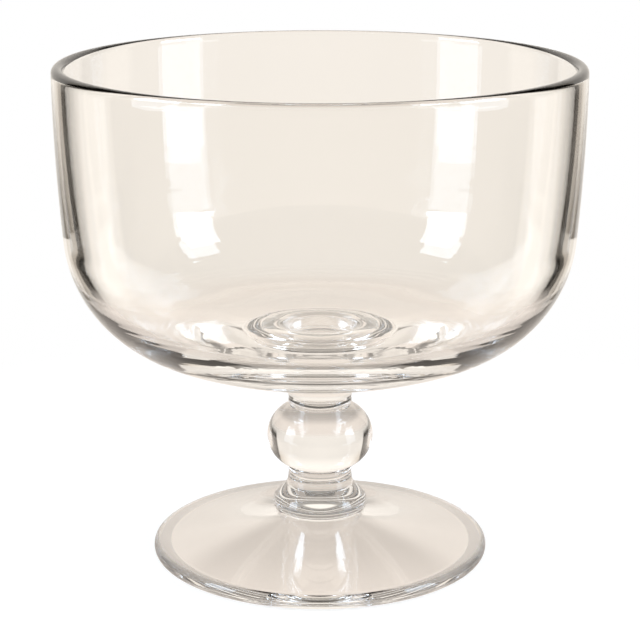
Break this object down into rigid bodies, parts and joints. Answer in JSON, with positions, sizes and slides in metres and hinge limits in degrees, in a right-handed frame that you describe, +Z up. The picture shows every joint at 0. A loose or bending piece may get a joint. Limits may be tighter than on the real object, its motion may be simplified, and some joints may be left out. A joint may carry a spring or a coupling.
{
  "type": "trifle bowl",
  "caption": "Deep clear-glass trifle bowl with a near-straight wall and round lip, on a short stem with a ball knop, collars and a wide round foot.",
  "frame": {"origin": "centre of the flat ring that the foot rests on, at table height", "axes": "+Z up along the axis that every piece is turned about; X and Y are free because the part is round"},
  "size_m": [0.2162, 0.2162, 0.2086],
  "materials": {
    "bowl_glass": "clear, fire-polished",
    "stem_glass": "clear, fire-polished",
    "foot_glass": "clear, fire-polished, ground flat under the rest ring"
  },
  "bodies": {
    "root": {"bowl": "bowl_glass", "upper_collar": "stem_glass", "ball_knop": "stem_glass", "lower_collar": "stem_glass", "base_ring": "stem_glass", "foot": "foot_glass"}
  },
  "joints": []
}
